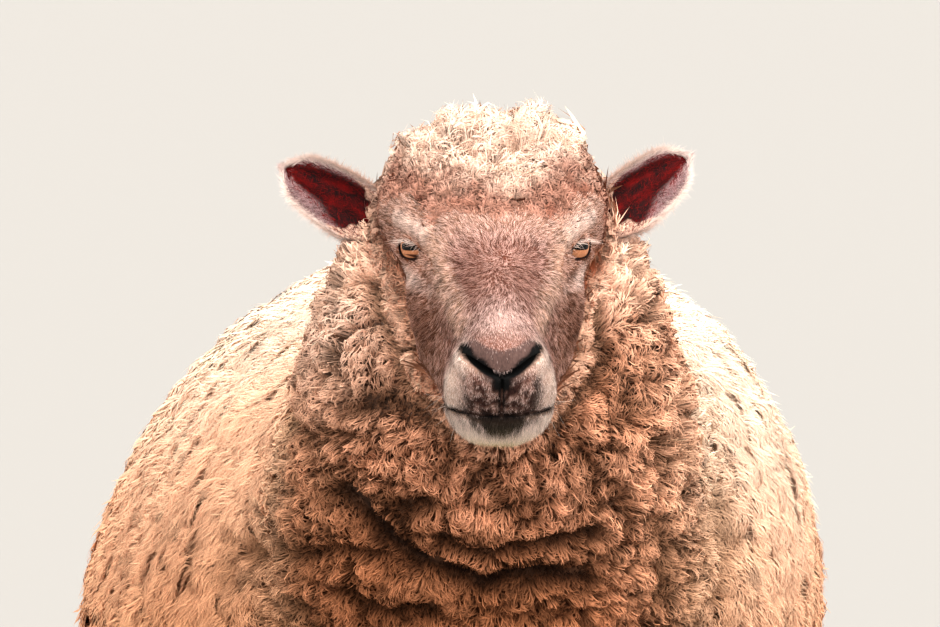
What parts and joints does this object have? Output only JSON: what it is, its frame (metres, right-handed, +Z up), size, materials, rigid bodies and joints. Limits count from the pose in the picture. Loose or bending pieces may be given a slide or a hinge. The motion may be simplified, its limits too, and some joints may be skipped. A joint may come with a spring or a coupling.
{
  "type": "sheep",
  "caption": "Life-size hornless sheep in full fleece, standing square on cloven feet with its head raised and both ears out to the sides.",
  "frame": {"origin": "on the floor, under the centre of the bounding box", "axes": "+Z up, +Y towards the tail, so the sheep faces -Y, and +X towards its left side"},
  "size_m": [0.555, 1.1326, 0.8383],
  "materials": {
    "fleece": "dull, springy wool",
    "neck_fleece": "dull, soiled wool",
    "face_hair": "short smooth hair",
    "leg_hair": "short hair and thin wool",
    "hoof_horn": "worn dark horn",
    "eye": "wet gloss"
  },
  "bodies": {
    "root": {"trunk": "fleece", "neck": "neck_fleece", "tail": "fleece", "head": "face_hair", "lower_jaw": "face_hair", "ear_left": "face_hair", "eye_left": "eye", "ear_right": "face_hair", "eye_right": "eye", "leg_fore_left": "leg_hair", "claw_fore_left_outer": "hoof_horn", "dewclaw_fore_left_outer": "hoof_horn", "claw_fore_left_inner": "hoof_horn", "dewclaw_fore_left_inner": "hoof_horn", "leg_fore_right": "leg_hair", "claw_fore_right_outer": "hoof_horn", "dewclaw_fore_right_outer": "hoof_horn", "claw_fore_right_inner": "hoof_horn", "dewclaw_fore_right_inner": "hoof_horn", "leg_hind_left": "leg_hair", "claw_hind_left_outer": "hoof_horn", "dewclaw_hind_left_outer": "hoof_horn", "claw_hind_left_inner": "hoof_horn", "dewclaw_hind_left_inner": "hoof_horn", "leg_hind_right": "leg_hair", "claw_hind_right_outer": "hoof_horn", "dewclaw_hind_right_outer": "hoof_horn", "claw_hind_right_inner": "hoof_horn", "dewclaw_hind_right_inner": "hoof_horn"}
  },
  "joints": []
}
